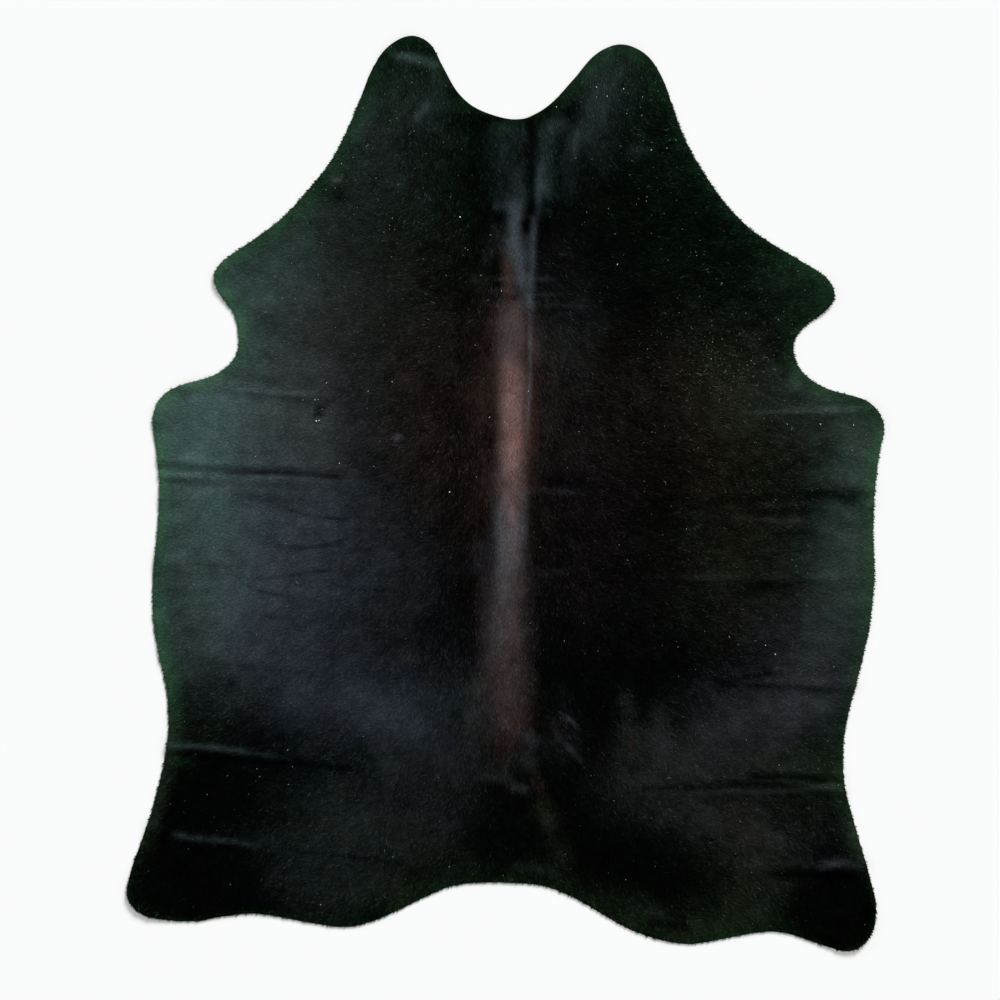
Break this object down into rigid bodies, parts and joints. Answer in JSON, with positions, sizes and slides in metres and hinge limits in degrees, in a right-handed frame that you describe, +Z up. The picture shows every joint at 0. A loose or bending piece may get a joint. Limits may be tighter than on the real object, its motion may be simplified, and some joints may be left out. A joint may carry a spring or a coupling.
{
  "type": "hair-on cowhide",
  "caption": "Whole hair-on hide lying flat, coat up, with neck, leg and rump outline, soft storage folds and a chestnut stripe along the spine.",
  "frame": {"origin": "middle of the outline's bounding box, on the flesh side that rests on the floor", "axes": "+Y along the spine towards the neck, +X to the right as seen from above, +Z up through the coat"},
  "size_m": [1.762, 2.13, 0.0139],
  "materials": {
    "hair_coat": "short black hair lying flat, low sheen, chestnut along the spine; plain suede below"
  },
  "bodies": {
    "root": {"hide": "hair_coat"}
  },
  "joints": []
}
